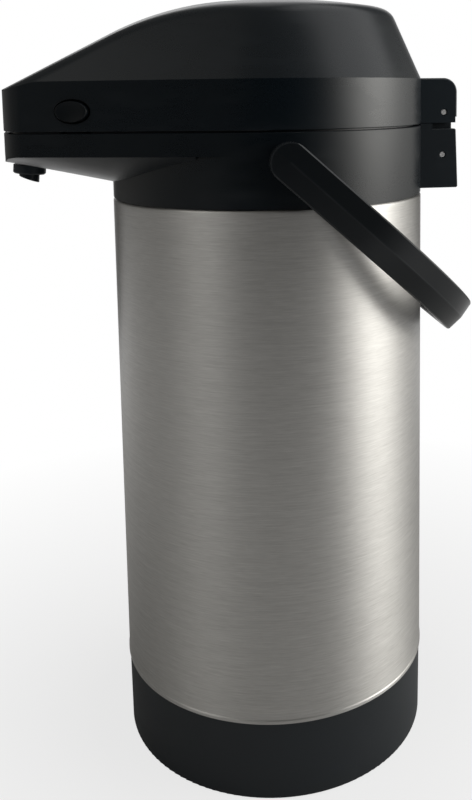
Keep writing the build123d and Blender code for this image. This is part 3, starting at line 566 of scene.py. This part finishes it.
whole = screw.node("GeometryNodeJoinGeometry", None, {"Geometry": [head, shank, thread]})
aim = screw.node("GeometryNodeInputNamedAttribute", {"data_type": "FLOAT_VECTOR"}, {"Name": "aim"})
screw.close(screw.node("GeometryNodeInstanceOnPoints", None, {
    "Points": screw.given("Places"),
    "Instance": whole,
    "Rotation": screw.node("FunctionNodeAlignRotationToVector", {"axis": "Z"}, {"Vector": aim}),
}))
PAN = {"Head radius": 0.0028, "Head height": 0.0017, "Pitch": 0.0009, "Recess width": 0.0008}
UP, DOWN, TO_NOSE = (0, 0, 1), (0, 0, -1), (0, -1, 0)
POST_X, POST_Y, DECK_Z = 0.024, -0.1, 0.325
screw.grow(
    "cover_screws", turned_steel("cover_screw_steel", shift=0.1), "stainless",
    {**PAN, "Shank radius": 0.0014, "Length": 0.0095},
    [((side * POST_X, POST_Y, DECK_Z), UP) for side in (1, -1)],
)

# Nozzle collar and nozzle tip.
# Two small black mouldings at the end of the tube, the tip pushed into the collar.
# The tip is cut off at a slant, so that the stream falls clear of the pot.
nozzle_black = moulded_plastic("nozzle_collar_black", tone=0.005, roughness=0.42, grain=0.8, shift=2.7)
dressed("nozzle_collar", nozzle_black)
tip_black = moulded_plastic("nozzle_tip_black", tone=0.004, roughness=0.34, grain=0.5, shift=3.1)
dressed("nozzle_tip", tip_black)

# Hinge bracket and its cross pin.
# The lower hinge block, a black moulding with the middle knuckle of the hinge.
# It slides over a lug on the collar, and a steel pin through both locks it there.
bracket_black = moulded_plastic("bracket_black", tone=0.004, roughness=0.40, grain=0.7, shift=3.6)
dressed("hinge_bracket", bracket_black)
dressed("bracket_pin", turned_steel("bracket_pin_steel", shift=0.4, roughness=0.5))

# Lid shell.
# The domed hood that narrows forward into the nose, moulded in one thin wall of smooth black
# plastic. One level edge runs round it where the upright skirt turns into the dome.
lid_black = moulded_plastic("lid_black", tone=0.003, roughness=0.28, grain=0.35, shift=4.2)
dressed("lid_shell", lid_black, crease=18.0)

# Hinge hood, its screws and the hinge pin.
# The upper hinge block, a black moulding held to the back of the lid by two screws from inside.
# The lid turns on the steel pin that runs through the hood and the bracket's knuckle.
hood_black = moulded_plastic("hood_black", tone=0.005, roughness=0.38, grain=0.7, shift=4.9)
dressed("hinge_hood", hood_black)
HOOD_SCREW_X, LID_BACK_Y, HOOD_SCREW_Z = 0.0105, 0.0744, 0.3445
screw.grow(
    "hood_screws", turned_steel("hood_screw_steel", shift=0.7), "stainless",
    {**PAN, "Shank radius": 0.0014, "Length": 0.016},
    [((side * HOOD_SCREW_X, LID_BACK_Y, HOOD_SCREW_Z), TO_NOSE) for side in (1, -1)],
)
dressed("hinge_pin", turned_steel("hinge_pin_steel", shift=0.9, roughness=0.5))

# Lid liner, its screws, the lid gasket and the air valve.
# The plastic plate inside the lid, with the cup of the pump, screwed up into four pillars.
# Below the cup, a silicone gasket closes the mouth and a soft flap is the valve for the air.
dressed("lid_liner", inner_plastic("liner_grey", tone=0.045, shift=1.1))
BACK_PILLAR, FRONT_PILLAR, LINER_FOOT_Z = (0.056, 0.028), (0.0487, -0.078), 0.331
screw.grow(
    "liner_screws", turned_steel("liner_screw_steel", shift=1.2), "stainless",
    {**PAN, "Shank radius": 0.0013, "Length": 0.011},
    [((side * x, y, LINER_FOOT_Z), DOWN) for x, y in (BACK_PILLAR, FRONT_PILLAR) for side in (1, -1)],
)
dressed("lid_gasket", silicone("lid_gasket_silicone", shade=0.5, shift=1.3))
dressed("air_valve", silicone("valve_silicone", shade=0.45, shift=1.5))

# Bellows, return spring and bellows cap.
# The air pump: a folded silicone bag that the button squeezes, with a wound steel coil inside it
# that pushes it open again. A stiff plastic disc closes the bag and centres the coil.
bag = Pattern(
    "folded_bag",
    ("Foot", "Top", "Crest radius", "Root radius", "Skin", "Flange", "Rim"),
    ("Folds",),
)
foot, top = bag.given("Foot"), bag.given("Top")
crest_r, root_r = bag.given("Crest radius"), bag.given("Root radius")
film, flange, rim = bag.given("Skin"), bag.given("Flange"), bag.given("Rim")
# The wall is one closed line, with this many points up its outside and as many down its inside.
STEPS = 97
number = bag.node("GeometryNodeInputIndex")
inside = bag.maths("GREATER_THAN", number, STEPS - 0.5)
share = (number + inside * (STEPS * 2 - 1 - number * 2.0)) / (STEPS - 1)
swell = 0.5 - bag.maths("COSINE", share * bag.given("Folds") * math.tau) * 0.5
wall_r = root_r + (crest_r - root_r) * swell - inside * film
wall_z = foot + share * (top - foot)
parts = [bag.spun(bag.strung(STEPS * 2, bag.spot(wall_r, wall_z)), 96)]
bore = root_r - film
for outer, low, high in ((flange, foot, foot + film * 1.4), (rim, top - film * 1.6, top)):
    band = [(bore, low, 1e-4), (outer, low, 4e-4), (outer, high, 4e-4), (bore, high, 1e-4)]
    parts.append(bag.spun(bag.outline(band), 96))
bag.close(bag.node("GeometryNodeJoinGeometry", None, {"Geometry": parts}))
bellows = bag.grow("bellows", silicone("bellows_silicone", shade=0.4, shift=1.9), "silicone", {
    "Foot": 0.3131,
    "Top": 0.356,
    "Crest radius": 0.04,
    "Root radius": 0.033,
    "Skin": 0.001,
    "Flange": 0.043,
    "Rim": 0.0355,
    "Folds": 6,
})
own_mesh(bellows)

coil = Pattern("closed_coil", ("Foot", "Top", "Coil radius", "Wire radius", "Turns"))
foot, top, turns = coil.given("Foot"), coil.given("Top"), coil.given("Turns")
coil_r, wire_r = coil.given("Coil radius"), coil.given("Wire radius")
path = coil.node("GeometryNodeCurveSpiral", None, {
    "Resolution": 40,
    "Rotations": turns,
    "Start Radius": coil_r,
    "End Radius": coil_r,
    "Height": 0.0,
})
# The turns lie flat over this share of the wire at each end.
flat = 0.4 / turns
climb = coil.node("ShaderNodeMapRange", {"interpolation_type": "SMOOTHSTEP"}, {
    "Value": coil.node("GeometryNodeSplineParameter", output="Factor"),
    "From Min": flat,
    "From Max": 1.0 - flat,
})
rise = coil.vector(0.0, 0.0, foot + wire_r + climb * (top - foot - wire_r * 2.0))
path = coil.node("GeometryNodeSetPosition", None, {"Geometry": path, "Offset": rise})
wire = coil.node("GeometryNodeCurvePrimitiveCircle", None, {"Resolution": 12, "Radius": wire_r})
coil.close(coil.swept(path, wire, capped=True))
spring = coil.grow("return_spring", turned_steel("spring_steel", shift=1.6), "stainless", {
    "Foot": 0.3132,
    "Top": 0.3528,
    "Coil radius": 0.011,
    "Wire radius": 0.0009,
    "Turns": 7.0,
})
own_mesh(spring)
dressed("bellows_cap", inner_plastic("cap_grey", tone=0.06, shift=2.2))

# Push button and lock slider.
# The crown of the dome is the button, a black moulding whose skirt slides in the lid.
# A small thumb slide, clipped through a slot in the button's pocket, locks the pump.
button_black = moulded_plastic("button_black", tone=0.003, roughness=0.34, grain=0.35, shift=5.3)
dressed("push_button", button_black)
slider_black = moulded_plastic("slider_black", tone=0.007, roughness=0.42, grain=0.8, shift=5.9)
dressed("lock_slider", slider_black)

# Latch buttons.
# One oval black moulding on each side of the nose, its face dished for a fingertip.
# Each slides in the lid's skirt, and its hook reaches down and holds the deck until it is pressed.
for side in ("left", "right"):
    name = "latch_" + side
    latch_black = moulded_plastic(
        name + "_black", tone=0.0015, roughness=0.45, grain=0.9, shift=6.4, gloss=0.25,
    )
    dressed(name, latch_black)

# Carry handle, its washers and screws.
# A flat strap with a low ridge along its middle, moulded in black as one bail. It hangs in the
# collar on two stubs, which steel screws and washers hold, and a highlight is painted along its edges
# and ridge.
PIVOT_Z, WASHER_X = 0.3136, 0.07295
HANDLE_DROP = math.radians(42.0)


def handle_plastic(name):
    """Black plastic with a painted highlight, and less roughness, along the strap's rims and its ridge.
    """
    skin = Finish(name)
    sockets = {0: skin.place, 1: (0.0, 0.0, PIVOT_Z)}
    from_pivot = skin.node("ShaderNodeVectorMath", {"operation": "SUBTRACT"}, sockets)
    along = skin.dot(from_pivot, (0.0, math.cos(HANDLE_DROP), -math.sin(HANDLE_DROP)))
    across = skin.dot(from_pivot, (0.0, math.sin(HANDLE_DROP), math.cos(HANDLE_DROP)))
    beyond_end = skin.maths("MINIMUM", along, 0.0)
    from_middle = skin.maths("SQRT", beyond_end * beyond_end + across * across)
    rim = skin.between(from_middle, 0.0085, 0.0088)
    ridge = 1.0 - skin.between(from_middle, 0.0002, 0.0007)
    patches = skin.between(skin.noise(skin.place, 40.0, 3.0), 0.35, 0.7)
    pits = skin.noise(skin.place, 2400.0, 3.0, 0.6)
    # A highlight is painted into the colour along the rims and the ridge, patchy along the strap, and
    # the roughness drops there too.
    painted_highlight = (rim * 0.75 + ridge * 0.4) * (0.6 + patches * 0.4)
    return skin.done(
        Base_Color=skin.tint(painted_highlight + pits * 0.02, grey(0.0010, 5.0), grey(0.035, 1.25)),
        Roughness=0.32 - painted_highlight * 0.1 + (pits - 0.5) * 0.08,
        Specular_IOR_Level=0.4,
        Normal=skin.bump(pits, 0.00004, 0.5),
    )


dressed("carry_handle", handle_plastic("handle_black"), crease=10.0)
dressed("pivot_washers", turned_steel("washer_steel", shift=2.1))
screw.grow(
    "pivot_screws", turned_steel("pivot_screw_steel", shift=2.4), "stainless",
    {**PAN, "Shank radius": 0.0012, "Length": 0.0095},
    [((side * WASHER_X, 0, PIVOT_Z), (-side, 0, 0)) for side in (1, -1)],
)

# Studio.
# A pale floor and a white backdrop, with a broad window of soft light on the hinge side, a weaker
# light on the spout side and a soft lamp overhead. The steel mirrors all of them.
CAMERA_AT = Vector((0.4885, -0.0564, 0.3429))
TO_CAMERA = Vector((CAMERA_AT.x, CAMERA_AT.y, 0.0)).normalized()
RIGHTWARD = Vector((-TO_CAMERA.y, TO_CAMERA.x, 0.0))
HALF_FLOOR = 0.8
WHITE = (1.0, 1.0, 1.0, 1.0)


def floor_finish():
    """Matt near the pot, where the shadow lies, and turning to plain white further out."""
    skin = Finish("pale_floor")
    seen = skin.node("ShaderNodeLightPath", output="Is Camera Ray")
    mirrored = skin.node("ShaderNodeLightPath", output="Is Glossy Ray")
    fleck = skin.noise(skin.place, 30.0)
    reach = skin.node("ShaderNodeVectorMath", {"operation": "LENGTH"}, {0: skin.place}, output="Value")
    matt = skin.node("ShaderNodeBsdfDiffuse", None, {"Color": skin.tint(fleck, grey(0.72), grey(0.76))})
    glow = skin.node("ShaderNodeEmission", None, {"Color": WHITE, "Strength": 1.0})
    away, far = skin.between(reach, 0.10, 0.42), skin.between(reach, 0.45, 0.80)
    white = seen * (0.76 + away * 0.24) + mirrored * far
    return skin.closed(skin.node("ShaderNodeMixShader", None, {0: white, 1: matt, 2: glow}))


floor_mesh = bpy.data.meshes.new("floor")
corners = ((-1, -1), (1, -1), (1, 1), (-1, 1))
floor_mesh.from_pydata([(x * HALF_FLOOR, y * HALF_FLOOR, 0.0) for x, y in corners], [], [(0, 1, 2, 3)])
floor_mesh.materials.append(floor_finish())
floor = bpy.data.objects.new("floor", floor_mesh)
bpy.context.scene.collection.objects.link(floor)


class Surround(Sketch):
    """The light from all round, by its bearing from the camera's side and its lift."""

    def __init__(self, world):
        world.use_nodes = True
        self.tree = world.node_tree
        self.tree.nodes.clear()
        way = self.node("ShaderNodeTexCoord", output="Generated")
        self.bearing = self.maths("ARCTAN2", self.dot(way, RIGHTWARD), self.dot(way, TO_CAMERA))
        self.height = self.dot(way, (0, 0, 1))
        self.lift = self.maths("ARCSINE", self.height)

    def lobe(self, angle, centre, width):
        """Most at one angle and fading on both sides of it, in degrees."""
        share = (angle - math.radians(centre)) / math.radians(width)
        return self.maths("EXPONENT", -(share * share))

    def patch(self, bearing, lift, strength):
        """A soft patch of light, whose bearing and lift are each a centre and a width."""
        return self.lobe(self.bearing, *bearing) * self.lobe(self.lift, *lift) * strength


world = bpy.data.worlds.new("studio")
bpy.context.scene.world = world
room = Surround(world)
dim_walls = 0.015
window = room.patch(bearing=(82.0, 22.0), lift=(8.0, 12.0), strength=7.6)
wall_beside_window = room.patch(bearing=(116.0, 26.0), lift=(4.0, 16.0), strength=0.75)
spout_side_light = room.patch(bearing=(-52.0, 19.0), lift=(30.0, 15.0), strength=1.5)
spout_side_wall = room.patch(bearing=(-98.0, 48.0), lift=(0.0, 20.0), strength=0.22)
ceiling = room.between(room.height, 0.30, 0.95) * 0.20
level = dim_walls + window + wall_beside_window + spout_side_light + spout_side_wall + ceiling
warm = room.node("ShaderNodeCombineColor", None, {0: level, 1: level * 0.985, 2: level * 0.94})
# The backdrop is white to the eye, and in metal and glass where it stands behind the pot.
seen = room.node("ShaderNodeLightPath", output="Is Camera Ray")
mirrored = room.node("ShaderNodeLightPath", output="Is Glossy Ray")
passed = room.node("ShaderNodeLightPath", output="Is Transmission Ray")
turned_away = room.maths("ABSOLUTE", room.bearing)
behind = room.between(turned_away, math.radians(154.0), math.radians(166.0))
backdrop = room.maths("MAXIMUM", seen, (mirrored + passed) * behind)
lit = room.node("ShaderNodeBackground", None, {"Color": warm, "Strength": 1.0})
white = room.node("ShaderNodeBackground", None, {"Color": WHITE, "Strength": 1.0})
shown = room.node("ShaderNodeMixShader", None, {0: backdrop, 1: lit, 2: white})
room.ends_in("ShaderNodeOutputWorld", shown)

lamp = bpy.data.lights.new("overhead", "AREA")
lamp.shape = "RECTANGLE"
lamp.size, lamp.size_y = 2.0, 2.0
lamp.energy = 13.0
lamp_turn, lamp_distance, lamp_height = math.radians(88.0), 1.3, 2.0
lamp_way = TO_CAMERA * math.cos(lamp_turn) + RIGHTWARD * math.sin(lamp_turn)
lamp_at = lamp_way * lamp_distance + Vector((0, 0, lamp_height))
middle_of_pot = Vector((0, 0, 0.2))
facing = (middle_of_pot - lamp_at).to_track_quat("-Z", "Y").to_matrix().to_4x4()
overhead = bpy.data.objects.new("overhead", lamp)
overhead.matrix_world = Matrix.Translation(lamp_at) @ facing
bpy.context.scene.collection.objects.link(overhead)

# Camera.
# It stands at the photograph's place and angle, in radians, fitted to the straight sides of the
# sleeve, the level seams and the base. The photograph's own middle lies off the lens's axis.
PITCH, YAW, ROLL = 0.1186, 0.0346, -0.0125
SPOUT_TURN = 0.115
FOCAL_PX, CENTRE_PX, FRAME_PX = 911.92, (299.51, 204.68), (472, 800)
SENSOR_MM = 36.0


def to_pot(vector):
    """From the camera fit's axes, where it looks along +Y, to the pot's own axes."""
    x, y, z = vector
    cosine, sine = math.cos(SPOUT_TURN), math.sin(SPOUT_TURN)
    return Vector((x * sine - y * cosine, x * cosine + y * sine, z))


forward = Vector((math.sin(YAW) * math.cos(PITCH), math.cos(YAW) * math.cos(PITCH), -math.sin(PITCH)))
level_right = Vector((math.cos(YAW), -math.sin(YAW), 0.0))
level_up = level_right.cross(forward)
right = level_right * math.cos(ROLL) + level_up * math.sin(ROLL)
up = level_up * math.cos(ROLL) - level_right * math.sin(ROLL)
axes = Matrix([to_pot(right), to_pot(up), -to_pot(forward)]).transposed().to_4x4()
lens = bpy.data.cameras.new("camera")
lens.sensor_fit = "HORIZONTAL"
lens.sensor_width = SENSOR_MM
lens.lens = FOCAL_PX / FRAME_PX[0] * SENSOR_MM
lens.shift_x = (FRAME_PX[0] / 2 - CENTRE_PX[0]) / FRAME_PX[0]
lens.shift_y = (CENTRE_PX[1] - FRAME_PX[1] / 2) / FRAME_PX[0]
lens.clip_start = 0.01
camera = bpy.data.objects.new("camera", lens)
camera.matrix_world = Matrix.Translation(CAMERA_AT) @ axes
bpy.context.scene.collection.objects.link(camera)
bpy.context.scene.camera = camera
bpy.context.scene.view_settings.view_transform = "Standard"
